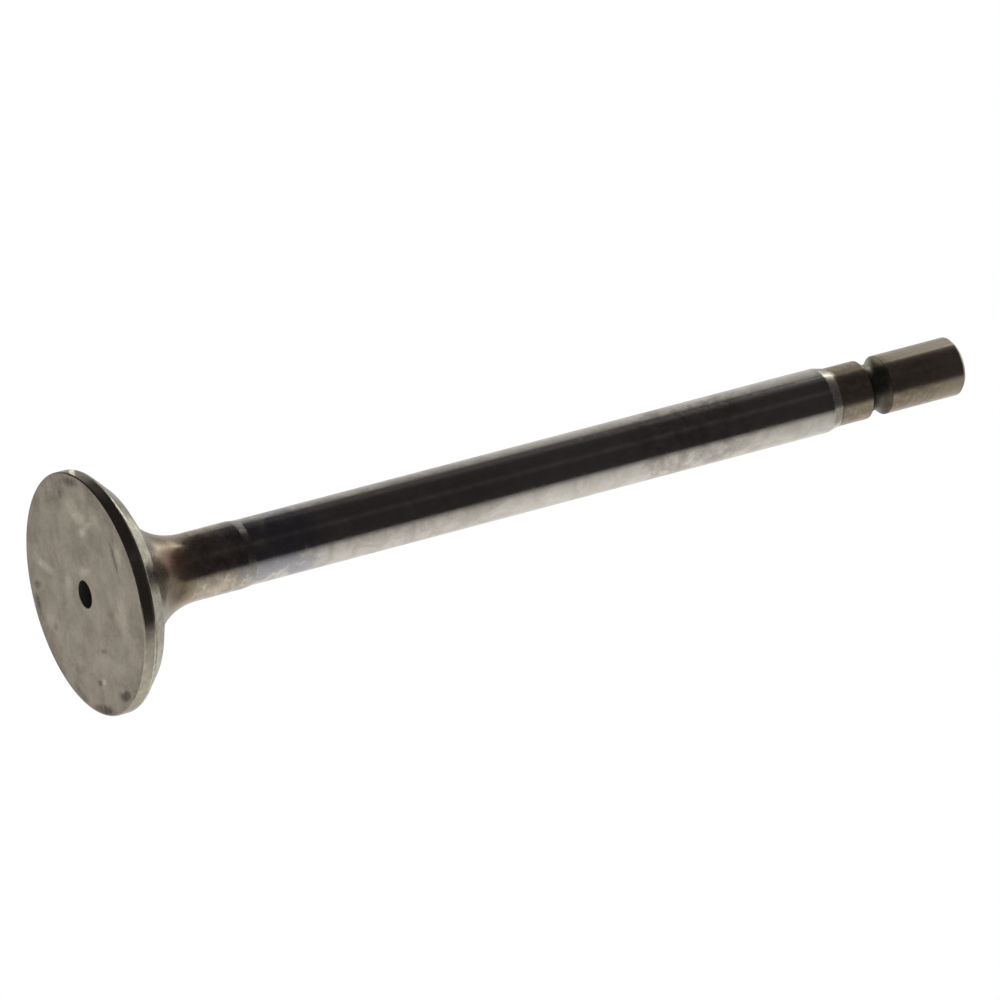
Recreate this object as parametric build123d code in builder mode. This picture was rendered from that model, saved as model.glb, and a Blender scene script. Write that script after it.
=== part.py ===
from build123d import *
import math
import os

# Poppet valve of a large diesel engine, forged and turned from one bar.
# It stands on its flat face: the origin is the middle of the face and +Z runs up the stem to the tip.
# Lengths are in millimetres, angles in degrees.

overall_length = 165.0

# Head, from the face up
head_diameter = 40.8
face_edge_chamfer = 0.2
margin_height = 2.2
seat_height = 3.0
seat_angle = 45.0  # between the seat cone and the plane of the face
underside_angle = 30.0  # between the underside and the plane of the face
neck_fillet = 12.0

# Centre hole in the face, on which the valve is held for turning and grinding
centre_hole_diameter = 4.7
centre_hole_depth = 5.0
drill_point_angle = 118.0

# Neck, left as turned, and the ground stem above it
stem_diameter = 11.0
grinding_allowance = 0.2  # how far the neck stands proud of the ground stem, on the radius
ground_stem_start = 28.0
grinding_run_out = 0.5

# Keeper end, measured down from the tip
keeper_diameter = 10.0
keeper_length = 24.0
keeper_taper_length = 2.0
tip_length = 14.5
groove_width = 3.7
groove_depth = 1.05
groove_lip_fillet = 0.15
tip_chamfer = 0.6

# Radii and heights that follow from the driving dimensions
head_radius = head_diameter / 2
stem_radius = stem_diameter / 2
keeper_radius = keeper_diameter / 2
neck_radius = stem_radius + grinding_allowance
seat_inner_radius = head_radius - seat_height / math.tan(math.radians(seat_angle))
seat_top = margin_height + seat_height
underside_top = seat_top + (seat_inner_radius - neck_radius) * math.tan(math.radians(underside_angle))
keeper_start = overall_length - keeper_length
groove_top = overall_length - tip_length
groove_bottom = groove_top - groove_width
groove_middle = (groove_top + groove_bottom) / 2
drill_point_height = centre_hole_diameter / 2 / math.tan(math.radians(drill_point_angle / 2))

with BuildPart() as valve:
    # Half of the valve's section, from the middle of the face round to the middle of the tip
    with BuildSketch(Plane.XZ) as half_section:
        with BuildLine():
            Polyline(
                (0, 0),
                (head_radius, 0),
                (head_radius, margin_height),
                (seat_inner_radius, seat_top),
                (neck_radius, underside_top),
                (neck_radius, ground_stem_start),
                (stem_radius, ground_stem_start + grinding_run_out),
                (stem_radius, keeper_start - keeper_taper_length),
                (keeper_radius, keeper_start),
                (keeper_radius, overall_length),
                (0, overall_length),
                close=True,
            )
        make_face()
        # The underside sweeps into the neck in one wide arc
        underside_corner = half_section.vertices().sort_by_distance((neck_radius, underside_top))[0]
        fillet(underside_corner, neck_fillet)
    revolve(axis=Axis.Z)

    # Round groove that the keepers grip
    with BuildSketch(Plane.XZ):
        with BuildLine():
            ThreePointArc(
                (keeper_radius, groove_bottom),
                (keeper_radius - groove_depth, groove_middle),
                (keeper_radius, groove_top),
            )
            Line((keeper_radius, groove_top), (keeper_radius, groove_bottom))
        make_face()
    revolve(axis=Axis.Z, mode=Mode.SUBTRACT)
    circles = valve.edges().filter_by(GeomType.CIRCLE)
    groove_lips = circles.filter_by_position(Axis.Z, groove_bottom, groove_top)
    fillet(groove_lips, groove_lip_fillet)

    # Broken edges at the two ends
    tip_edge = valve.edges().filter_by(GeomType.CIRCLE).sort_by(Axis.Z)[-1]
    chamfer(tip_edge, tip_chamfer)
    face_edge = valve.edges().filter_by(GeomType.CIRCLE).sort_by(Axis.Z)[0]
    chamfer(face_edge, face_edge_chamfer)

    # Drilled centre hole, with the cone that the drill's point leaves
    with Locations(valve.faces().sort_by(Axis.Z)[0]):
        Hole(radius=centre_hole_diameter / 2, depth=centre_hole_depth)
    with Locations((0, 0, centre_hole_depth)):
        Cone(
            bottom_radius=centre_hole_diameter / 2,
            top_radius=0,
            height=drill_point_height,
            align=(Align.CENTER, Align.CENTER, Align.MIN),
            mode=Mode.SUBTRACT,
        )

valve.part.label = "valve"

os.makedirs("parts", exist_ok=True)
export_step(valve.part, "parts/valve.step")

box = valve.part.bounding_box()
print(f"valve: {len(valve.part.solids())} solid, {valve.part.volume:.1f} cubic mm")
print(f"size: {box.size.X:.2f} x {box.size.Y:.2f} x {box.size.Z:.2f} mm")
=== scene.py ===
# %% [markdown]
# An engine valve, dressed in its real finishes. The valve lets gas in or out of a cylinder: a flat head
# closes the port, and a long stem carries it in a guide. Its true sizes come from the measured solid,
# which is loaded first and never changed. Everything below is in metres, in the solid's own frame: the
# face stands on z = 0 and the stem points up.

# %% Load the measured solid
import math

import bmesh
import bpy
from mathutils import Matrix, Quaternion, Vector


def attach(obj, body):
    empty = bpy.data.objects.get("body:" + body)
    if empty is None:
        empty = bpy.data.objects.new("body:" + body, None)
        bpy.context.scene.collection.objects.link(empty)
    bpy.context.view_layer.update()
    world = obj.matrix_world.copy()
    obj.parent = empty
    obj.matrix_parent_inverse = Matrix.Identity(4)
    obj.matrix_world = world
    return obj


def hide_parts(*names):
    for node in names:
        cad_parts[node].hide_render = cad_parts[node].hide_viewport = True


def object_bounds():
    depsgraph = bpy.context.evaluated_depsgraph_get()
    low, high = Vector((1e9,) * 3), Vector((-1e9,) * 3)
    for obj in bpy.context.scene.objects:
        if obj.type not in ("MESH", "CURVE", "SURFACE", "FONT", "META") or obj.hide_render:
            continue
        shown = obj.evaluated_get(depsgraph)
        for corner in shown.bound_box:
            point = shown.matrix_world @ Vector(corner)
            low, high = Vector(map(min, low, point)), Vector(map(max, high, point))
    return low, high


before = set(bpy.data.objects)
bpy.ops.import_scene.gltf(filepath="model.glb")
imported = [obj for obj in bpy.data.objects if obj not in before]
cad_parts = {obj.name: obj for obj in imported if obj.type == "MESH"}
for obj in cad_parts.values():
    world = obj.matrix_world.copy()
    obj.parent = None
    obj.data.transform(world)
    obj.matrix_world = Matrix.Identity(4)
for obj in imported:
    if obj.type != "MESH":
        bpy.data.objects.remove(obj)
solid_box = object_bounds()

MM = 0.001
scene = bpy.context.scene
print("solid, mm:", [[round(v / MM, 2) for v in corner] for corner in solid_box])

# %% [markdown]
# The valve lies across the picture and shows its face, seen from a little below the rim. A camera could
# be placed by eye, but the outline of the face and the two straight edges of the stem fix it: distance,
# tilt and roll were measured from them. It stands about 2.3 m away with a very long lens, looks up, and
# is turned on its side, so that the stem runs off to the right.

# %% Camera
CAMERA_PLACE = Vector((2.42, -2070.57, -942.11)) * MM
CAMERA_RISE = math.radians(26.206)  # how steeply it looks up
CAMERA_ROLL = math.radians(75.177)  # how far it is turned on its side
LENS = 504.0
FILM_WIDTH = 36.0
NEAREST, FARTHEST = 0.1, 50.0  # m; how near and how far it sees

camera = bpy.data.objects.new("camera", bpy.data.cameras.new("camera"))
scene.collection.objects.link(camera)
camera.data.sensor_width = FILM_WIDTH
camera.data.lens = LENS
camera.data.clip_start = NEAREST
camera.data.clip_end = FARTHEST
camera.location = CAMERA_PLACE
looking = Vector((0.0, math.cos(CAMERA_RISE), math.sin(CAMERA_RISE)))
camera.rotation_mode = "QUATERNION"
camera.rotation_quaternion = looking.to_track_quat("-Z", "Y") @ Quaternion((0, 0, 1), CAMERA_ROLL)
scene.camera = camera
scene.view_settings.view_transform = "Standard"
print("camera distance, m:", round(CAMERA_PLACE.length, 3))

# %% [markdown]
# Real steel has no perfectly sharp corner. The tiny roundings catch a line of light, as they do on the
# real valve. A Bevel modifier could round the finished mesh, but it gives every edge one width. Here each
# corner of the outline has its own rounding, from a broken edge to the wide sweep under the head, so the
# arcs are worked out first.

# %% Rounding a corner of the outline
HOLD = 0.08  # mm; a ring this far from each rounding keeps the flat beside it flat
ARC_STEP = math.radians(6.0)  # turn of the outline between two points of a rounding


def round_corner(before, corner, after, rounding):
    """Points of the arc that softens one corner, in mm, with a holding point on each side."""
    back = (before - corner).normalized()
    on = (after - corner).normalized()
    half = math.acos(max(-1.0, min(1.0, back.dot(on)))) / 2
    run = rounding / math.tan(half)
    centre = corner + (back + on).normalized() * (rounding / math.sin(half))
    start = corner + back * run - centre
    end = corner + on * run - centre
    steps = max(3, round((math.pi - 2 * half) / ARC_STEP))
    turn = start.angle_signed(end) / steps
    arc = []
    for i in range(steps + 1):
        c, s = math.cos(-turn * i), math.sin(-turn * i)
        arc.append(centre + Vector((start.x * c - start.y * s, start.x * s + start.y * c)))
    return [corner + back * (run + HOLD), *arc, corner + on * (run + HOLD)]


def outline_of(corners):
    """Turns (radius, height, rounding, finish) corners into (radius, height, finish) points."""
    points = []
    for i, (radius, height, rounding, finish) in enumerate(corners):
        if rounding == 0:
            points.append((radius, height, finish))
            continue
        before = Vector(corners[i - 1][:2])
        after = Vector(corners[i + 1][:2])
        soft = round_corner(before, Vector((radius, height)), after, rounding)
        points.append((*soft[0], corners[i - 1][3]))
        points += [(*p, finish) for p in soft[1:]]
    return points


square_corner = round_corner(Vector((0, 0)), Vector((1, 0)), Vector((1, 1)), 0.1)
print("points of a rounded square corner:", len(square_corner))

# %% [markdown]
# The groove near the tip holds two split keepers, which hang the valve from its spring. It was cut with a
# round tool, so its floor is an arc, and its two lips are slightly rolled over. It could be cut out of
# the finished body with a Boolean modifier, but that leaves untidy faces. As three arcs in the outline it
# stays clean.

# %% Keeper groove
KEEPER_RADIUS = 5.0
GROOVE_MIDDLE = 148.65
GROOVE_TOOL = 2.155  # radius of the round tool
GROOVE_TOOL_OUT = 6.105  # how far its centre stood from the valve's axis
LIP = 0.15  # radius of the rolled lips
LIP_STEPS = 6
FLOOR_STEPS = 28


def groove_outline():
    """Lower lip, round floor and upper lip of the groove, in mm."""
    out = GROOVE_TOOL_OUT - (KEEPER_RADIUS - LIP)
    rise = math.sqrt((GROOVE_TOOL + LIP) ** 2 - out**2)
    lip_turn = math.atan2(rise, out)

    def lip(side):
        """One lip, from the wall of the keeper end into the groove: side is -1 below and 1 above."""
        arc = []
        for i in range(LIP_STEPS + 1):
            a = lip_turn * i / LIP_STEPS
            radius = KEEPER_RADIUS - LIP + LIP * math.cos(a)
            arc.append((radius, GROOVE_MIDDLE + side * (rise - LIP * math.sin(a))))
        return arc

    floor_arc = []
    for i in range(1, FLOOR_STEPS):
        a = lip_turn * (1 - 2 * i / FLOOR_STEPS)
        radius = GROOVE_TOOL_OUT - GROOVE_TOOL * math.cos(a)
        floor_arc.append((radius, GROOVE_MIDDLE - GROOVE_TOOL * math.sin(a)))
    wall, *upper_lip = lip(1)
    return [
        (KEEPER_RADIUS, GROOVE_MIDDLE - rise - HOLD, "keeper_end"),
        *[(*p, "groove") for p in [*lip(-1), *floor_arc, *reversed(upper_lip)]],
        (*wall, "keeper_end"),
        (KEEPER_RADIUS, GROOVE_MIDDLE + rise + HOLD, "keeper_end"),
    ]


print("groove points:", len(groove_outline()))

# %% [markdown]
# A valve is turned in a lathe, so a list of radii and heights says its whole shape: from the bottom of
# the centre hole, out over the face, round the rim, up the seat and the forged sweep into the neck, and
# along the stem to the tip. The head's radius and the length are read from the solid. The others follow
# the solid's turned steps; only the step above the neck is drawn softer, as it is on the real valve. Head
# and stem could be two bodies joined afterwards, but one outline leaves no seam between them. Each corner
# also names the finish that starts there, because on a turned part a finish is one stretch of the
# outline.

# %% Radii and heights of the outline, in mm
HEAD_RADIUS = round(solid_box[1][0] / MM, 3)
VALVE_LENGTH = round(solid_box[1][2] / MM, 3)
FACE_CHAMFER = 0.2
MARGIN_HEIGHT = 2.2
SEAT_HEIGHT = 3.0  # and as wide, because the seat lies at 45 degrees
UNDERSIDE_TOP = 11.955  # where the underside's slope of 30 degrees would meet the neck
NECK_FILLET = 12.0
NECK_RADIUS = 5.7
STEM_RADIUS = 5.5
STEP_START, STEP_END = 27.5, 29.0
TAPER_START, TAPER_END = 139.0, 141.0
TIP_CHAMFER = 0.6
HOLE_RADIUS = 2.35
HOLE_DEPTH = 5.0
DRILL_POINT = 6.41  # height that the point of the drill reached
print("head radius and length, mm:", HEAD_RADIUS, VALVE_LENGTH)

# %% Outline of the valve
BELOW_GROOVE, ABOVE_GROOVE = 146.0, 151.0
FINISHES = [
    "hole", "face", "margin", "seat", "forged", "step", "stem", "taper", "keeper_end", "groove", "tip"
]

head_and_stem = outline_of([
    # radius, height, rounding, finish
    (0.0, DRILL_POINT, 0, "hole"),
    (HOLE_RADIUS, HOLE_DEPTH, 0, "hole"),
    (HOLE_RADIUS, 0.0, 0.1, "face"),
    (HEAD_RADIUS - FACE_CHAMFER, 0.0, 0.06, "margin"),
    (HEAD_RADIUS, FACE_CHAMFER, 0.06, "margin"),
    (HEAD_RADIUS, MARGIN_HEIGHT, 0.9, "seat"),
    (HEAD_RADIUS - SEAT_HEIGHT, MARGIN_HEIGHT + SEAT_HEIGHT, 0.25, "forged"),
    (NECK_RADIUS, UNDERSIDE_TOP, NECK_FILLET, "forged"),
    (NECK_RADIUS, STEP_START, 2.0, "step"),
    (STEM_RADIUS, STEP_END, 2.0, "stem"),
    (STEM_RADIUS, TAPER_START, 1.2, "taper"),
    (KEEPER_RADIUS, TAPER_END, 2.5, "keeper_end"),
    (KEEPER_RADIUS, BELOW_GROOVE, 0, "keeper_end"),
])
tip_end = outline_of([
    (KEEPER_RADIUS, ABOVE_GROOVE, 0, "keeper_end"),
    (KEEPER_RADIUS, VALVE_LENGTH - TIP_CHAMFER, 0.15, "keeper_end"),
    (KEEPER_RADIUS - TIP_CHAMFER, VALVE_LENGTH, 0.15, "tip"),
    (0.0, VALVE_LENGTH, 0, "tip"),
])
outline = head_and_stem + groove_outline() + tip_end
print("outline points:", len(outline))

# %% [markdown]
# Spinning: each point of the outline becomes a ring of corners, and neighbouring rings are joined with
# four-sided faces. A ring at the axis shrinks to one point. A Screw modifier could spin the outline too,
# but built by hand every face carries the finish of its own stretch, and the mesh is closed from the
# start.

# %% Rings and bodies
AROUND = 240  # corners in a ring


def ring_of(shape, radius, height):
    """A ring of corners about the axis, in metres, or a single corner where the radius is nothing."""
    if radius < 1e-12:
        return [shape.verts.new((0, 0, height))]
    turns = [2 * math.pi * k / AROUND for k in range(AROUND)]
    return [shape.verts.new((radius * math.cos(a), radius * math.sin(a), height)) for a in turns]


def join_rings(shape, low, high, finish):
    """Faces from one ring to the next, with the number of their finish."""
    for k in range(AROUND):
        j = (k + 1) % AROUND
        corners = [low[k % len(low)], low[j % len(low)], high[j % len(high)], high[k % len(high)]]
        face = shape.faces.new(list(dict.fromkeys(corners)))
        face.material_index = finish
        face.smooth = True


def body_from(shape, name):
    """Makes an object of a finished shape and puts it in the scene."""
    mesh = bpy.data.meshes.new(name)
    shape.to_mesh(mesh)
    shape.free()
    body = bpy.data.objects.new(name, mesh)
    scene.collection.objects.link(body)
    return body


print("corners in a ring:", AROUND)

# %% Spin the outline
SHARP_EDGE = math.radians(35)  # edges that turn more than this stay crisp


def spin(points, name):
    """One closed turned body from (radius, height, finish) points in mm."""
    shape = bmesh.new()
    rings = [ring_of(shape, radius * MM, height * MM) for radius, height, _ in points]
    for low, high, (_, _, finish) in zip(rings, rings[1:], points):
        join_rings(shape, low, high, FINISHES.index(finish))
    bmesh.ops.recalc_face_normals(shape, faces=shape.faces)
    body = body_from(shape, name)
    body.data.set_sharp_from_angle(angle=SHARP_EDGE)
    return body


valve = spin(outline, "valve_turned")
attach(valve, "root")
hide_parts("valve")
print("valve faces:", len(valve.data.polygons))

# %% [markdown]
# Every finish is a small network of nodes. Written out node by node the networks would hide what they
# say, so a few helpers keep them readable: one adds a node and wires it, one starts an empty material,
# and one starts a steel and gives the place on the valve in millimetres, so that a noise scale of 1 means
# marks about 1 mm apart.

# %% Helpers that add nodes
def add(tree, kind, inputs=None, **settings):
    """Adds a node. An input given as a socket is wired, any other is set."""
    made = tree.nodes.new(kind)
    for name, value in settings.items():
        setattr(made, name, value)
    for name, value in (inputs or {}).items():
        if isinstance(value, bpy.types.NodeSocket):
            tree.links.new(value, made.inputs[name])
        else:
            made.inputs[name].default_value = value
    return made


def new_material(name):
    """An empty material and its tree of nodes."""
    material = bpy.data.materials.new(name)
    material.use_nodes = True
    material.node_tree.nodes.clear()
    return material, material.node_tree


def steel(name, metallic=1.0):
    """A new steel, its tree, its shader, and the place on the valve in mm."""
    material, tree = new_material(name)
    shader = add(tree, "ShaderNodeBsdfPrincipled", {"Metallic": metallic})
    add(tree, "ShaderNodeOutputMaterial", {"Surface": shader.outputs[0]})
    place = add(tree, "ShaderNodeTexCoord").outputs["Object"]
    mm = add(tree, "ShaderNodeVectorMath", {0: place, 1: (1 / MM,) * 3}, operation="MULTIPLY").outputs[0]
    return material, tree, shader, mm


# %% Helpers that reckon and colour
def maths(tree, operation, first, second):
    """Reckons with two numbers: "ADD", "MULTIPLY" and so on."""
    return add(tree, "ShaderNodeMath", {0: first, 1: second}, operation=operation).outputs[0]


def times(tree, first, second):
    return maths(tree, "MULTIPLY", first, second)


def plus(tree, first, second):
    return maths(tree, "ADD", first, second)


def fit(tree, value, low, high, to_low=0.0, to_high=1.0):
    """Spreads value from low..high to to_low..to_high, with soft ends."""
    made = add(
        tree,
        "ShaderNodeMapRange",
        {"Value": value, "From Min": low, "From Max": high, "To Min": to_low, "To Max": to_high},
        interpolation_type="SMOOTHSTEP",
    )
    return made.outputs["Result"]


def blend(tree, how_much, first, second):
    """Mixes two colours: the first where how_much is 0, the second where it is 1."""
    made = add(tree, "ShaderNodeMix", data_type="RGBA")
    for socket, value in zip((made.inputs[0], made.inputs[6], made.inputs[7]), (how_much, first, second)):
        if isinstance(value, bpy.types.NodeSocket):
            tree.links.new(value, socket)
        else:
            socket.default_value = value if isinstance(value, float) else (*value, 1.0)
    return made.outputs[2]


def shade(colour, strength):
    """The same colour, darker or lighter."""
    return tuple(strength * part for part in colour)


def coat(tree, shader, colour, roughness):
    """Gives the steel its colour and its roughness."""
    tree.links.new(colour, shader.inputs["Base Color"])
    tree.links.new(roughness, shader.inputs["Roughness"])


def bump(tree, shader, height, depth_mm, strength):
    """Raises and sinks the surface by height times depth_mm."""
    made = add(tree, "ShaderNodeBump", {"Height": height, "Distance": depth_mm * MM, "Strength": strength})
    tree.links.new(made.outputs["Normal"], shader.inputs["Normal"])


# %% [markdown]
# Used steel is never even: it is clouded with oil, flecked with tiny stains, ringed by the tool that cut
# it, and tinted at certain heights by heat. Painted pictures could show this, but they blur close up and
# need unwrapping. Noise has neither fault, so every pattern here is noise, stretched and cut off in its
# own way.

# %% Patterns of making and use
def noise(tree, mm, per_mm, detail, rough, twist, seed):
    """Noise with per_mm marks in each mm: one number, or one for each axis.

    Detail and rough say how much finer marks are laid over the large ones, twist bends them,
    and the seed moves to another place in the endless pattern.
    """
    stretch = per_mm if isinstance(per_mm, tuple) else (per_mm,) * 3
    spot = add(tree, "ShaderNodeVectorMath", {0: mm, 1: stretch, 2: seed}, operation="MULTIPLY_ADD")
    made = add(
        tree,
        "ShaderNodeTexNoise",
        {"Vector": spot.outputs[0], "Scale": 1.0, "Detail": detail, "Roughness": rough, "Distortion": twist},
    )
    return made.outputs["Fac"]


def mottle(tree, mm, per_mm, low, high, seed):
    """Cloudy patches about 1 / per_mm mm across: 0 where clean, 1 where stained."""
    return fit(tree, noise(tree, mm, per_mm, 5.0, 0.6, 0.4, seed), low, high)


def flecked(tree, mm, colour, how_much, per_mm, dark, light, seed):
    """Breaks a colour up with dark and light flecks about 1 / per_mm mm across."""
    marks = noise(tree, mm, per_mm, 4.0, 0.6, 0.15, seed)
    colour = blend(tree, times(tree, how_much, fit(tree, marks, 0.36, 0.5, 1.0, 0.0)), colour, dark)
    return blend(tree, times(tree, how_much, fit(tree, marks, 0.5, 0.64)), colour, light)


def tool_rings(tree, mm, per_mm, seed):
    """Marks that a lathe or a grinding wheel leaves round the axis: thin in height, long round the valve."""
    return noise(tree, mm, (0.12, 0.12, per_mm), 3.0, 0.7, 0.0, seed)


def along_axis(tree, mm, axis):
    """One of the three measures of a place: "X", "Y" or "Z"."""
    return add(tree, "ShaderNodeSeparateXYZ", {"Vector": mm}).outputs[axis]


def height_band(tree, mm, start, full, fade, end):
    """0 below start, 1 from full to fade, 0 above end, in mm of height."""
    z = along_axis(tree, mm, "Z")
    return times(tree, fit(tree, z, start, full), fit(tree, z, fade, end, 1.0, 0.0))


def distance(tree, place):
    """How far a place is from the origin."""
    return add(tree, "ShaderNodeVectorMath", {0: place}, operation="LENGTH").outputs["Value"]


def oval(tree, mm, middle, half_sizes, turn=0.0):
    """How far a place is from an oval's middle: 0 there, 1 on its edge. The turn is about the axis."""
    moved = add(
        tree,
        "ShaderNodeMapping",
        {"Vector": mm, "Location": middle, "Rotation": (0, 0, math.radians(turn)), "Scale": half_sizes},
        vector_type="TEXTURE",
    )
    return distance(tree, moved.outputs[0])


# %% [markdown]
# The face closes the cylinder. It has been hot and has been handled: it is matt, brownish grey, and
# stained. Noise alone would give it stains of one kind everywhere, and a painted picture would be a
# picture of one valve. So fine noise gives the grain, larger noise the clouds, and a short list of soft
# ovals puts the few stains that catch the eye where they lie on the real face. More noise breaks up the
# edges of the ovals.

# %% Stains on the face
FACE_STAINS = [
    # x, y, half length, half width in mm, turn in degrees, how much lighter (+) or darker (-)
    (-14.6, -3.6, 2.2, 1.5, 90, 0.6),
    (-12.3, -5.1, 3.0, 1.3, -75, 0.75),
    (-9.8, -5.1, 1.4, 0.8, 90, 1.0),
    (-10.6, -7.6, 1.5, 0.7, 90, 0.6),
    (-15.9, -8.7, 1.9, 1.4, 90, 0.35),
    (-11.1, -10.5, 2.0, 1.1, 90, 0.4),
    (-7.8, 14.1, 1.9, 1.4, 0, 0.5),
    (-6.0, 12.0, 3.2, 1.0, -65, 0.75),
    (-3.5, -2.0, 2.4, 0.9, 90, 0.7),
    (-2.4, 4.9, 1.6, 1.5, 0, 0.5),
    (-4.8, -16.2, 2.2, 1.2, 0, 0.6),
    (1.8, -13.2, 2.6, 2.1, 0, 0.45),
    (5.1, -11.4, 2.8, 2.4, 0, 0.45),
    (11.7, 0.0, 3.4, 2.0, 90, 0.35),
    (14.6, 1.5, 1.1, 0.5, 90, 0.8),
    (-18.2, 3.0, 1.3, 1.2, 0, 0.4),
    (2.7, 15.9, 2.4, 1.7, 60, 0.35),
    (-18.2, -5.3, 2.6, 1.0, -80, -0.9),
    (-16.8, -0.5, 1.0, 0.8, 0, -0.5),
    (-4.2, -14.4, 2.8, 0.6, 0, -0.8),
    (-3.6, 17.1, 1.6, 0.7, 90, -0.7),
    (-0.6, 18.6, 2.2, 1.2, 0, -0.6),
    (3.9, 14.3, 1.1, 0.7, 90, -0.6),
    (11.7, 9.3, 2.2, 1.0, 90, -0.35),
    (9.8, -1.4, 1.2, 0.5, 90, -0.7),
    (14.6, 3.0, 1.1, 0.6, 90, -0.8),
    (17.7, -5.4, 2.3, 0.9, 90, -1.0),
    (18.3, -8.5, 1.2, 0.5, 90, -0.6),
    (18.9, 4.2, 4.2, 0.9, -78, -0.9),
    (14.1, -14.5, 1.6, 0.8, -135, -0.6),
    (4.2, -7.8, 1.6, 0.9, 90, -0.3),
    (15.6, 11.1, 2.5, 0.8, -50, -0.5),
]
STAIN_STRENGTH = 1.1
STAIN_WOBBLE = 1.1  # how raggedly a stain ends
NO_LIMIT = 1e6  # mm; a stain is as deep as this, so its height doesn't matter


def soft_spots(tree, mm, spots):
    """Adds up soft ovals with broken edges."""
    ragged = noise(tree, mm, 0.9, 4.0, 0.65, 0.0, (7, 3, 1))
    ragged = times(tree, maths(tree, "SUBTRACT", ragged, 0.5), STAIN_WOBBLE)
    total = 0.0
    for x, y, long, wide, turn, amount in spots:
        away = plus(tree, oval(tree, mm, (x, y, 0), (long, wide, NO_LIMIT), turn), ragged)
        total = plus(tree, total, fit(tree, away, 0.25, 1.35, amount, 0.0))
    return times(tree, total, STAIN_STRENGTH)


print("stains on the face:", len(FACE_STAINS))

# %% Face
FACE_TONES = [
    # place on the scale from the darkest stain to the lightest, colour
    (0.1, (0.12, 0.102, 0.08)),
    (0.36, (0.322, 0.286, 0.236)),
    (0.50, (0.408, 0.366, 0.304)),
    (0.66, (0.484, 0.445, 0.370)),
    (0.90, (0.65, 0.61, 0.50)),
]
TONE_REACH = 1.5  # the sum of all stains and noise stays within this, above and below 0
OLD_OIL = (0.32, 0.335, 0.275)


def ramp(tree, value, stops):
    """Colours by value: a list of (value from 0 to 1, colour)."""
    made = add(tree, "ShaderNodeValToRGB", {"Fac": value})
    while len(made.color_ramp.elements) < len(stops):
        made.color_ramp.elements.new(0.5)
    for element, (where, colour) in zip(made.color_ramp.elements, stops):
        element.position = where
        element.color = (*colour, 1.0)
    return made.outputs["Color"]


def face_finish():
    """Matt steel with clouds, skin, grain and stains, a little darker towards the rim."""
    material, tree, shader, mm = steel("face_stained")
    clouds = noise(tree, mm, 0.2, 5.0, 0.6, 0.2, (3, 8, 0))
    skin = noise(tree, mm, 1.2, 4.0, 0.65, 0.1, (1, 5, 0))
    grain = noise(tree, mm, 3.5, 2.0, 0.6, 0.0, (4, 4, 1))
    tone = soft_spots(tree, mm, FACE_STAINS)
    tone = plus(tree, tone, fit(tree, clouds, 0.3, 0.7, -0.33, 0.37))
    tone = plus(tree, tone, fit(tree, skin, 0.25, 0.75, -0.28, 0.32))
    tone = plus(tree, tone, fit(tree, grain, 0.25, 0.75, -0.22, 0.24))
    tone = plus(tree, tone, fit(tree, distance(tree, mm), 13.0, 19.5, 0.0, -0.2))
    scale = {"Value": tone, "From Min": -TONE_REACH, "From Max": TONE_REACH}
    colour = ramp(tree, add(tree, "ShaderNodeMapRange", scale).outputs["Result"], FACE_TONES)
    oily = mottle(tree, mm, 0.3, 0.55, 0.75, (11, 2, 4))
    colour = blend(tree, times(tree, oily, 0.25), colour, OLD_OIL)
    coat(tree, shader, colour, fit(tree, skin, 0.2, 0.8, 0.46, 0.62))
    bump(tree, shader, plus(tree, skin, clouds), 0.02, 0.5)
    return material


finish_of = {}


def keep_finish(stretch, material):
    """Notes which finish a stretch of the outline gets."""
    finish_of[stretch] = material
    print(stretch, "finish, nodes:", len(material.node_tree.nodes))


keep_finish("face", face_finish())

# %% [markdown]
# The rim is called the margin. Behind it lies the seat, the cone that closes the port against its ring.
# Both were ground, so they mirror the room: the margin shows the dark behind the camera on one side and
# the white table on the other. One function makes both, because only colour and gloss differ. A weaker
# Specular Tint keeps their edges from turning white where they are seen at a slant.

# %% Margin and seat
GLANCING_TINT = (0.7, 0.7, 0.7, 1.0)


def ground_finish(name, colour, stain, roughness, flecks, seed):
    """A ground steel: fine rings, stained patches, and flecks as strong as the number says."""
    material, tree, shader, mm = steel(name)
    shader.inputs["Specular Tint"].default_value = GLANCING_TINT
    rings = tool_rings(tree, mm, 4.0, seed)
    patches = mottle(tree, mm, 0.5, 0.42, 0.72, seed)
    tinted = blend(tree, times(tree, patches, 0.6), colour, stain)
    tinted = blend(tree, fit(tree, rings, 0.35, 0.65, 0.0, 0.25), tinted, stain)
    tinted = flecked(tree, mm, tinted, flecks, 0.9, shade(colour, 0.68), shade(colour, 1.32), seed)
    rough = fit(tree, rings, 0.3, 0.7, roughness - 0.03, roughness + 0.03)
    coat(tree, shader, tinted, plus(tree, rough, times(tree, patches, 0.08)))
    bump(tree, shader, rings, 0.002, 0.6)
    return material


GROUND = [
    # stretch, material, colour, stain, roughness, strength of the flecks, seed
    ("margin", "margin_ground", (0.41, 0.385, 0.31), (0.30, 0.28, 0.22), 0.17, 0.35, (1, 2, 3)),
    ("seat", "seat_ground", (0.64, 0.615, 0.495), (0.465, 0.44, 0.345), 0.2, 0.55, (4, 2, 6)),
]
for stretch, *recipe in GROUND:
    keep_finish(stretch, ground_finish(*recipe))

# %% [markdown]
# Under the seat the forging was left as it came from the die, brushed down and heat-stained. Towards the
# neck the skin turns into turned steel. Two materials would meet in a hard line, so this is one: both are
# built, and the change between them follows the height, with a ragged edge.

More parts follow.
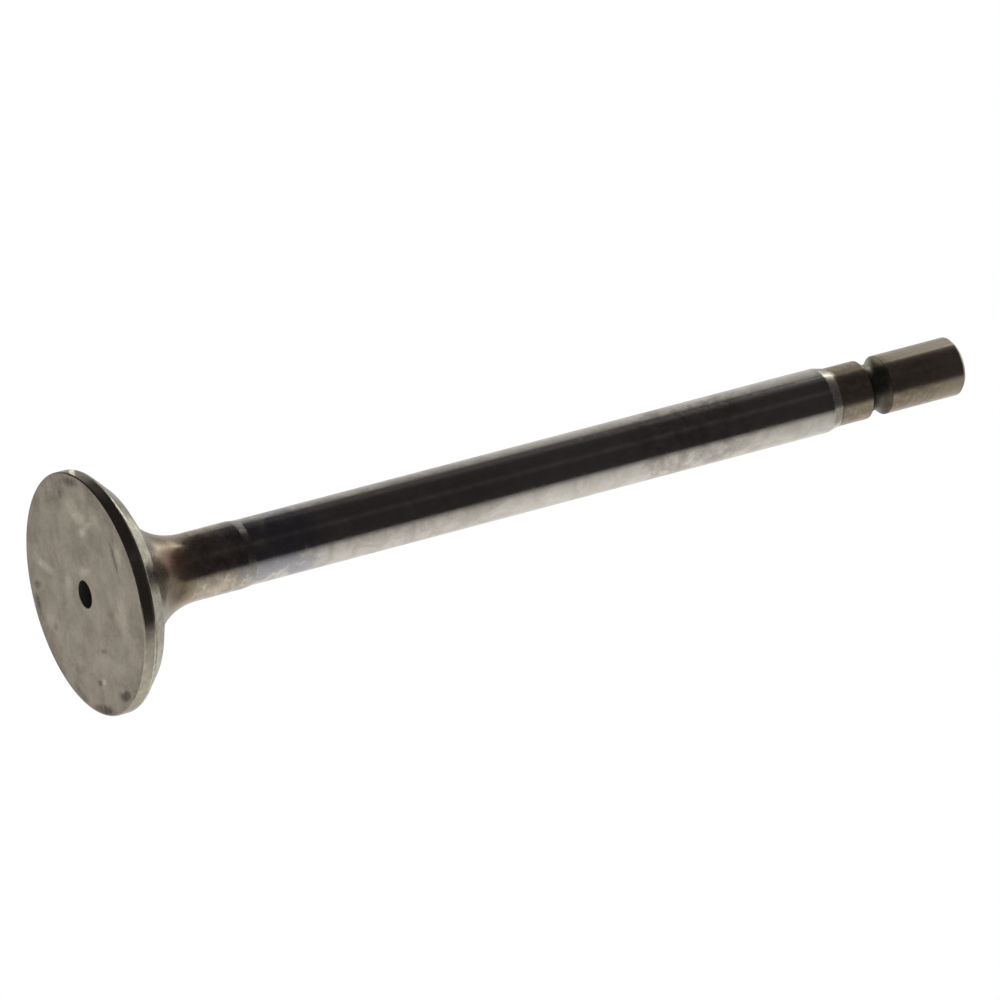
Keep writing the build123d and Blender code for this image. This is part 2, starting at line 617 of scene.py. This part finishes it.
# %% Neck
NECK_DARK = (0.31, 0.285, 0.235)
NECK_LIGHT = (0.50, 0.475, 0.415)
NECK_BROWN = (0.36, 0.30, 0.235)
NECK_FLECKS = (0.235, 0.205, 0.165), (0.66, 0.61, 0.53)
STRAW_TINT = (0.56, 0.47, 0.34)
NECK_BLUE = (0.29, 0.295, 0.315)


def neck_colour(tree, mm, skin, scratches):
    """Scratched steel with brown clouds, straw-coloured half way up and bluish at the top, from heat."""
    clouds = noise(tree, mm, 0.35, 4.0, 0.6, 0.8, (8, 3, 3))
    neck = blend(tree, fit(tree, scratches, 0.32, 0.68), NECK_DARK, NECK_LIGHT)
    neck = blend(tree, fit(tree, clouds, 0.38, 0.62, 0.0, 0.6), neck, NECK_BROWN)
    neck = flecked(tree, mm, neck, 0.5, 0.7, *NECK_FLECKS, (2, 6, 9))
    straw = times(tree, height_band(tree, mm, 17.0, 20.0, 24.0, 27.5), fit(tree, skin, 0.4, 0.6))
    neck = blend(tree, times(tree, straw, 0.35), neck, STRAW_TINT)
    blue = times(tree, fit(tree, along_axis(tree, mm, "Z"), 24.0, 26.5), fit(tree, clouds, 0.4, 0.5))
    return blend(tree, times(tree, blue, 0.6), neck, NECK_BLUE)


# %% Forged underside and neck
FORGED_DARK = (0.11, 0.095, 0.072)
FORGED_LIGHT = (0.35, 0.315, 0.256)
GOLDEN = (0.34, 0.265, 0.18)
BURNT = (0.36, 0.19, 0.15)
BURNT_PLACE, BURNT_SIZE = (-1.5, -6.5, 13.8), (2.6, 4.0, 4.2)


def forged_finish():
    """Forged skin that turns into the scratched neck, golden between them, with one burnt spot."""
    material, tree, shader, mm = steel("forged_and_turned")
    z = along_axis(tree, mm, "Z")
    ragged = noise(tree, mm, 0.6, 4.0, 0.6, 0.5, (5, 0, 2))
    turned = fit(tree, plus(tree, z, fit(tree, ragged, 0.2, 0.8, -2.2, 2.2)), 14.0, 18.0)
    skin = noise(tree, mm, 0.8, 5.0, 0.65, 0.8, (2, 2, 2))
    scratches = noise(tree, mm, (0.4, 0.4, 2.0), 5.0, 0.7, 0.8, (9, 1, 0))
    forged = blend(tree, fit(tree, skin, 0.3, 0.72), FORGED_DARK, FORGED_LIGHT)
    colour = blend(tree, turned, forged, neck_colour(tree, mm, skin, scratches))
    golden = times(tree, height_band(tree, mm, 8.5, 11.0, 16.0, 19.0), fit(tree, ragged, 0.3, 0.5, 0.4, 0.8))
    colour = blend(tree, golden, colour, GOLDEN)
    burnt = fit(tree, oval(tree, mm, BURNT_PLACE, BURNT_SIZE), 0.3, 1.2, 1.0, 0.0)
    colour = blend(tree, times(tree, burnt, 0.6), colour, BURNT)
    rough = fit(tree, z, 12.0, 18.5, 0.27, 0.17)
    coat(tree, shader, colour, plus(tree, rough, fit(tree, skin, 0.3, 0.7, -0.03, 0.06)))
    tree.links.new(fit(tree, z, 15.0, 19.5, 0.94, 1.0), shader.inputs["Metallic"])
    pits = times(tree, skin, fit(tree, turned, 0.0, 1.0, 1.0, 0.12))
    marks = plus(tree, pits, times(tree, scratches, 0.35))
    bump(tree, shader, marks, 0.010, 0.5)
    return material


keep_finish("forged", forged_finish())

# %% [markdown]
# The stem is ground between centres until it slides in its guide. Close up it carries fine rings, grey
# clouds of old oil, and just above the neck a blue tint from heat. Where the guide rubs it is cleaner,
# and in two stretches it is patchy. Those stretches are bands of height, which suit a part that only
# turns about its axis.

# %% Ground stem
STEM_CLEAN = (0.60, 0.585, 0.54)
STEM_CLOUD = (0.445, 0.425, 0.385)
STEM_FLECK = (0.44, 0.40, 0.34)
STEM_PATCHES = (0.31, 0.29, 0.26), (0.74, 0.71, 0.65)
STEM_RUBBED = (0.72, 0.70, 0.65)
HEAT_BLUE = (0.30, 0.31, 0.355)


def stem_finish():
    """Fine rings, clouds and flecks, with patchy, rubbed and blue stretches."""
    material, tree, shader, mm = steel("stem_ground")
    rings = tool_rings(tree, mm, 4.0, (0, 0, 0))
    clouds = noise(tree, mm, (0.26, 0.26, 0.3), 6.0, 0.65, 0.6, (6, 1, 8))
    flecks = noise(tree, mm, (1.5, 1.5, 0.8), 5.0, 0.7, 0.3, (1, 9, 2))
    colour = blend(tree, fit(tree, clouds, 0.3, 0.66), STEM_CLEAN, STEM_CLOUD)
    colour = blend(tree, fit(tree, flecks, 0.45, 0.75, 0.0, 0.55), colour, STEM_FLECK)
    near_neck = height_band(tree, mm, 25.0, 27.0, 38.0, 47.0)
    upper_part = height_band(tree, mm, 98.0, 103.0, 120.0, 127.0)
    patchy = times(tree, plus(tree, near_neck, upper_part), 0.45)
    colour = flecked(tree, mm, colour, patchy, 0.5, *STEM_PATCHES, (5, 5, 7))
    middle = height_band(tree, mm, 70.0, 82.0, 98.0, 106.0)
    top = height_band(tree, mm, 118.0, 126.0, 137.0, 139.0)
    colour = blend(tree, times(tree, plus(tree, middle, top), 0.3), colour, STEM_RUBBED)
    heat = height_band(tree, mm, 25.5, 29.0, 37.0, 44.0)
    blue = times(tree, heat, mottle(tree, mm, 0.3, 0.36, 0.55, (3, 3, 5)))
    colour = blend(tree, times(tree, blue, 0.75), colour, HEAT_BLUE)
    rough = plus(tree, fit(tree, rings, 0.3, 0.7, 0.10, 0.15), fit(tree, clouds, 0.4, 0.7, 0.0, 0.10))
    coat(tree, shader, colour, rough)
    bump(tree, shader, plus(tree, rings, times(tree, flecks, 0.6)), 0.0015, 0.5)
    return material


keep_finish("stem", stem_finish())

# %% [markdown]
# The keeper end was turned, not ground, and has gone brown under the keepers. Its groove is painted darker
# still: partly browner steel, partly painted shade of its hollow. On the -X side both carry a painted
# highlight, and the last stretch before the tip is lighter all round. Step, taper, tip and hole are turned
# or drilled as well, so one function makes them all from two colours. A steel with a thin film of oxide
# isn't a perfect mirror, which a metallic value just under 1 stands for.

# %% Keeper end, groove, step, taper, tip and hole
TURNED_SEED = (2, 5, 1)
HIGHLIGHT_FROM, HIGHLIGHT_TO = -2.6, -3.4  # mm along X over which the painted highlight comes in
NEAR_TIP = (157.0, 162.0, 165.5, 166.0)


def turned_finish(name, colour, stain, smooth, rough, metallic, side_highlight):
    """A turned steel. Side_highlight is nothing, or the colour of a painted highlight on the -X side and its
    band of height.
    """
    material, tree, shader, mm = steel(name, metallic)
    rings = tool_rings(tree, mm, 3.0, TURNED_SEED)
    clouds = noise(tree, mm, (0.35, 0.35, 0.2), 5.0, 0.65, 0.5, TURNED_SEED)
    tinted = blend(tree, fit(tree, clouds, 0.35, 0.68), colour, stain)
    tinted = blend(tree, fit(tree, rings, 0.4, 0.75, 0.0, 0.35), tinted, stain)
    tinted = flecked(tree, mm, tinted, 0.55, 1.0, shade(colour, 0.72), shade(colour, 1.28), TURNED_SEED)
    if side_highlight:
        bright, band = side_highlight
        # painted highlight: the -X side is painted lighter, where the steel would mirror the bright cards
        side = fit(tree, along_axis(tree, mm, "X"), HIGHLIGHT_FROM, HIGHLIGHT_TO)
        side = times(tree, side, height_band(tree, mm, *band))
        # the last stretch before the tip is lighter all round, in the same colour
        tinted = blend(tree, times(tree, height_band(tree, mm, *NEAR_TIP), 0.5), tinted, bright)
        tinted = blend(tree, side, tinted, bright)
    coat(tree, shader, tinted, fit(tree, plus(tree, rings, clouds), 0.7, 1.3, smooth, rough))
    bump(tree, shader, rings, 0.003, 0.5)
    return material


# %% Turned and drilled stretches
TURNED = [
    # stretch, material, colour, stain, least and most roughness, metallic
    ("hole", "hole_drilled", (0.10, 0.10, 0.088), (0.07, 0.07, 0.06), 0.4, 0.6, 0.7),
    ("step", "step_turned", (0.42, 0.405, 0.37), (0.33, 0.315, 0.285), 0.22, 0.3, 1.0),
    ("taper", "taper_turned", (0.68, 0.66, 0.575), (0.58, 0.545, 0.465), 0.22, 0.28, 0.97),
    ("keeper_end", "keeper_end_turned", (0.335, 0.285, 0.22), (0.25, 0.21, 0.155), 0.2, 0.27, 0.96),
    # the groove's dark colour is partly browner steel and partly painted shade of its hollow
    ("groove", "groove_turned", (0.10, 0.088, 0.067), (0.075, 0.065, 0.05), 0.3, 0.4, 0.94),
    ("tip", "tip_ground", (0.50, 0.47, 0.42), (0.36, 0.33, 0.28), 0.22, 0.32, 1.0),
]
SIDE_HIGHLIGHT = {
    # stretch: colour of the painted highlight on the -X side, and its band of height
    "keeper_end": ((0.40, 0.355, 0.285), (150.8, 152.5, 165.5, 166.0)),
    "groove": ((0.33, 0.32, 0.24), (146.0, 146.5, 151.0, 151.5)),
}
for stretch, *recipe in TURNED:
    keep_finish(stretch, turned_finish(*recipe, SIDE_HIGHLIGHT.get(stretch)))

# %% [markdown]
# Now each stretch of the outline gets its finish. The faces could be picked out on the mesh by hand, but
# the spinning has numbered them already, in the order of the list of finishes, so the list is all it
# takes.

# %% Dress the valve
for finish in FINISHES:
    valve.data.materials.append(finish_of[finish])
print("finishes:", [material.name for material in valve.data.materials])

# %% [markdown]
# The valve lies in a white studio. The world gives the light, a little under full so that pale steel
# doesn't clip, and where it is seen, straight or in a reflection, it is full white. A backdrop could do
# the same, but it would stand in the way of the other views.

# %% World
WORLD_LIGHT = 0.75
WORLD_SEEN = 1.0


def seen_rays(tree):
    """1 for what is seen, straight, in metal or through glass, and 0 for light that falls on things."""
    rays = add(tree, "ShaderNodeLightPath").outputs
    seen = maths(tree, "MAXIMUM", rays["Is Camera Ray"], rays["Is Glossy Ray"])
    return maths(tree, "MAXIMUM", seen, rays["Is Transmission Ray"])


world = bpy.data.worlds.new("white_studio")
scene.world = world
world.use_nodes = True
sky = world.node_tree
sky.nodes.clear()
light = add(sky, "ShaderNodeBackground", {"Color": (1, 1, 1, 1), "Strength": WORLD_LIGHT})
white = add(sky, "ShaderNodeBackground", {"Color": (1, 1, 1, 1), "Strength": WORLD_SEEN})
both = add(sky, "ShaderNodeMixShader", {0: seen_rays(sky), 1: light.outputs[0], 2: white.outputs[0]})
add(sky, "ShaderNodeOutputWorld", {"Surface": both.outputs[0]})
print("world light:", WORLD_LIGHT)

# %% [markdown]
# Polished steel shows the room more than its own colour. The valve has a broad dark band because the room
# was dark on the camera's side, and bright bands because the table and the wall behind it were white.
# Painting the bands on the steel would be wrong from every other side, so the room itself is made: a tent
# of grey and white cards round the valve. A place on it is given by its turn, in degrees from the
# camera's side towards -X, and its rise above the floor. The dark lies between two turns, and its edges
# drift with the rise.

# %% Edges and steps of the cards
MIRRORED_RISE = 26.2  # rise at which the stem mirrors the tent
DARK_FROM, DARK_TO = -43.0, 103.0  # turns between which the tent is dark at that rise
LOWER_DRIFT, UPPER_DRIFT = 0.44, 1.43  # how far each edge turns for each degree of rise
UPPER_LEAST, UPPER_MOST = 82.0, 140.0  # turns between which the upper edge stays
LOWER_SIDE = [(-135, 0.75), (-117, 0.9), (-68, 0.98), (-37, 0.82), (-17, 0.62), (-7, 0.33), (0, 0.15)]
UPPER_SIDE = [(0, 0.27), (12, 0.45), (30, 0.6), (55, 0.75), (70, 0.7)]
# The two lists give degrees beyond the dark's lower and upper edge, and the brightness there
LIGHT_LINE = [(80, 32), (90, 39), (97, 45), (106, 50), (116, 54), (131, 56), (144, 56), (158, 52), (175, 48)]
# Turn and rise of a bright line that borders the dark: the edge of the light table


def along(table, where):
    """Reads a value between the entries of a table."""
    for (a, low), (b, high) in zip(table, table[1:]):
        if where <= b:
            return low + (high - low) * max(0.0, (where - a) / (b - a))
    return table[-1][1]


def soft_step(low, high, value):
    """0 at low and 1 at high, and soft between them."""
    t = max(0.0, min(1.0, (value - low) / (high - low)))
    return t * t * (3 - 2 * t)


def window(value, start, full, fade, end):
    """0 before start, 1 from full to fade, and 0 after end."""
    return soft_step(start, full, value) * soft_step(end, fade, value)


def hump(value, middle, width):
    """1 at the middle, and nearly 0 two widths away."""
    return math.exp(-(((value - middle) / width) ** 2))


def dark_edges(rise):
    """The turns between which the tent is dark."""
    above = rise - MIRRORED_RISE
    lower_edge = DARK_FROM - LOWER_DRIFT * max(above, 0.0)
    upper_edge = DARK_TO - UPPER_DRIFT * above
    return lower_edge, min(UPPER_MOST, max(UPPER_LEAST, upper_edge))


print("dark between the turns:", dark_edges(MIRRORED_RISE))

# %% Brightness of the cards
DARK = 0.034
FAINT_LINE = 0.022  # how much brighter the line near the middle of the dark is
LOWER_WALL, UPPER_WALL = 0.42, 0.6  # the walls above the table, towards +X and towards -X
LINE_GLOW = 2.3
LINE_WIDTH = 3.0  # degrees of rise


def dark_tone(turn, rise, edge):
    """The dark side: a faint line near its middle, and greyer near its upper edge and overhead."""
    tone = DARK + FAINT_LINE * hump(turn, 20, 7)
    return tone + 0.055 * soft_step(edge - 31, edge - 22, turn) + 0.08 * soft_step(66, 74, rise)


def lower_tone(turn, rise, edge):
    """The bright side towards +X: duller above the table, with a grey dip that the fillet shows."""
    tone = along(LOWER_SIDE, turn - edge)
    wall = LOWER_WALL + 0.22 * soft_step(-140, -160, turn)
    tone += (wall - tone) * soft_step(38, 55, rise) + 0.1 * soft_step(60, 70, rise)
    tone *= 1 - 0.35 * window(rise, 28, 38, 52, 60) * window(turn, -148, -125, -85, -60)
    return tone * (1 - 0.1 * soft_step(-140, -165, turn) * soft_step(28, 36, rise))


def upper_tone(turn, rise, edge):
    """The bright side towards -X, with a grey stretch that the seat shows and a bright patch before it."""
    tone = along(UPPER_SIDE, turn - edge)
    tone *= 1 - 0.25 * soft_step(155, 172, turn) * soft_step(28, 32, rise)
    tone *= 1 - 0.5 * window(turn, 118, 130, 160, 174) * window(rise, 34, 40, 46, 54)
    wall = UPPER_WALL + 0.2 * soft_step(150, 162, turn)
    tone += (wall - tone) * soft_step(38, 55, rise)
    return tone + window(turn, 86, 94, 116, 130) * window(rise, 36, 39, 42, 45)


def card_tone(turn, rise):
    """Brightness of the tent at a turn and a rise."""
    lower_edge, upper_edge = dark_edges(rise)
    if turn < lower_edge:
        return lower_tone(turn, rise, lower_edge)
    line = LINE_GLOW * hump(rise, along(LIGHT_LINE, turn), LINE_WIDTH)
    line *= window(turn, 80, 88, 148, 165) * soft_step(32, 38, rise)
    if turn <= upper_edge:
        return dark_tone(turn, rise, upper_edge) + line
    return upper_tone(turn, rise, upper_edge) + line


print("tone of the dark side:", round(card_tone(0, 26), 3))
print("tone of the table beside it:", round(card_tone(-90, 26), 3))

# %% [markdown]
# The tent is a mesh of corners that each carry a brightness, and its material glows with that brightness.
# A picture on a dome would do the same, but a few formulas say what the cards are. The tent shows only in
# reflections: the camera and plain light don't meet it, and it throws no shadow.

# %% Glowing cards
DARK_TINT, BRIGHT_TINT = (1.0, 0.88, 0.96), (1.0, 0.97, 0.945)

card_glow, tree = new_material("card_tent")
brightness = add(tree, "ShaderNodeAttribute", attribute_name="tone").outputs["Fac"]
tint = blend(tree, fit(tree, brightness, 0.04, 0.2), DARK_TINT, BRIGHT_TINT)
glow = add(tree, "ShaderNodeEmission", {"Color": tint, "Strength": brightness})
add(tree, "ShaderNodeOutputMaterial", {"Surface": glow.outputs[0]})


def around(turn, reach, height):
    """The place at a turn, a reach from the valve's axis and a height above the floor."""
    a = math.radians(turn)
    return (-math.sin(a) * reach, -math.cos(a) * reach, height)


def card_of(name, columns):
    """A card from columns of (place, brightness) corners, seen only in reflections."""
    shape = bmesh.new()
    tone = shape.verts.layers.float.new("tone")
    grid = []
    for column in columns:
        grid.append([shape.verts.new(place) for place, _ in column])
        for corner, (_, bright) in zip(grid[-1], column):
            corner[tone] = bright
    for left, right in zip(grid, grid[1:]):
        for i in range(len(left) - 1):
            shape.faces.new((left[i], right[i], right[i + 1], left[i + 1]))
    card = body_from(shape, name)
    card.data.materials.append(card_glow)
    card.visible_camera = False
    card.visible_diffuse = False
    card.visible_shadow = False
    print(name, "faces:", len(card.data.polygons))
    return card


# %% Tent of cards
TENT_RADIUS = 0.55
TENT_MIDDLE = 0.08  # height of the middle of the tent
TENT_TURNS = range(-180, 181, 2)
TENT_RISES = range(-74, 89, 2)


def tent_corner(turn, rise):
    """Place and brightness of one corner of the tent."""
    e = math.radians(rise)
    place = around(turn, TENT_RADIUS * math.cos(e), TENT_MIDDLE + TENT_RADIUS * math.sin(e))
    return place, card_tone(turn, rise)


tent_columns = [[tent_corner(turn, rise) for rise in TENT_RISES] for turn in TENT_TURNS]
tent = card_of("card_tent", tent_columns)

# %% [markdown]
# The underside of the head looks down at the floor close by, which the tent doesn't reach. A flat ring on
# the floor carries the tent's tones inwards, so that the seat and the forging mirror the same dark and
# bright sides. The tent could be made smaller instead, but then the stem would stand out of it.

# %% Card on the floor
CARD_REACHES = (0.028, 0.05, 0.1, 0.2, 0.4, 0.6)
CARD_HEIGHT = 0.0002
CARD_RISE = 26  # the tent's rise whose tones the ring carries
CARD_TURNS = range(-180, 181, 3)

card_columns = [
    [(around(turn, reach, CARD_HEIGHT), card_tone(turn, CARD_RISE)) for reach in CARD_REACHES]
    for turn in CARD_TURNS
]
card = card_of("card_floor", card_columns)

# %% [markdown]
# The floor is pale and plain, and the valve stands on it with its shadow. The camera looks up from below,
# so the floor is clear from that side. Under the head it also lets light through, because the face would
# be black otherwise. A plain hole would do that too, but from above it would show as a pale ring round
# the head. The cards stand for the floor in reflections, so it is hidden there.

# %% Floor
FLOOR_DROP = 0.2 * MM
FLOOR_OPENING = 20.1 * MM  # a little smaller than the face
FLOOR_REACH = 12.0
FLOOR_COLOUR = (0.85, 0.85, 0.85, 1.0)


def pale_floor(name, only_seen):
    """Pale and matt from above, clear from below. With only_seen, light that falls on it passes too."""
    material, tree = new_material(name)
    pale = add(tree, "ShaderNodeBsdfDiffuse", {"Color": FLOOR_COLOUR})
    clear = add(tree, "ShaderNodeBsdfTransparent")
    passes = add(tree, "ShaderNodeNewGeometry").outputs["Backfacing"]
    if only_seen:
        passes = maths(tree, "MAXIMUM", passes, maths(tree, "SUBTRACT", 1.0, seen_rays(tree)))
    surface = add(tree, "ShaderNodeMixShader", {0: passes, 1: pale.outputs[0], 2: clear.outputs[0]})
    add(tree, "ShaderNodeOutputMaterial", {"Surface": surface.outputs[0]})
    return material


shape = bmesh.new()
middle, inner, outer = [ring_of(shape, radius, -FLOOR_DROP) for radius in (0.0, FLOOR_OPENING, FLOOR_REACH)]
join_rings(shape, outer, inner, 0)
join_rings(shape, inner, middle, 1)
floor = body_from(shape, "floor")
floor.data.materials.append(pale_floor("pale_floor", False))
floor.data.materials.append(pale_floor("pale_floor_under_head", True))
floor.visible_glossy = False
print("floor faces up:", all(face.normal.z > 0 for face in floor.data.polygons))

# %% [markdown]
# A large soft lamp high up gives the valve its gentle shadow. It is hidden from reflections, because the
# tent already shows the steel its lights. A second lamp, no bigger than a grain of rice, stands at the
# rim and gives the one warm glint there. A bright spot painted on the steel would stay put when the view
# changes, which a glint doesn't. The lamp's narrow spread keeps it out of the other views.

# %% Lamps
def lamp(name, place, target, width, height, energy, colour):
    """A soft rectangular lamp at place, facing target."""
    made = bpy.data.objects.new(name, bpy.data.lights.new(name, "AREA"))
    scene.collection.objects.link(made)
    made.data.shape = "RECTANGLE"
    made.data.size = width
    made.data.size_y = height
    made.data.energy = energy
    made.data.color = colour
    made.location = place
    made.rotation_mode = "QUATERNION"
    made.rotation_quaternion = (Vector(place) - Vector(target)).to_track_quat("Z", "Y")
    made.visible_camera = False
    print(name, "to target, m:", round((Vector(place) - Vector(target)).length, 4))
    return made


soft_box = lamp(
    "soft_box",
    place=(-0.5, 0.3, 0.9),
    target=(0, 0, 0),
    width=0.6,
    height=0.6,
    energy=2.5,
    colour=(1.0, 0.98, 0.96),
)
soft_box.visible_glossy = False
rim_light = lamp(
    "rim_light",
    place=(-0.02225, -0.0015, 0.003),
    target=(-0.0195, -0.0058, 0.0005),
    width=0.003,
    height=0.0008,
    energy=0.0000013,
    colour=(1.0, 0.94, 0.86),
)
rim_light.data.spread = math.radians(60.0)
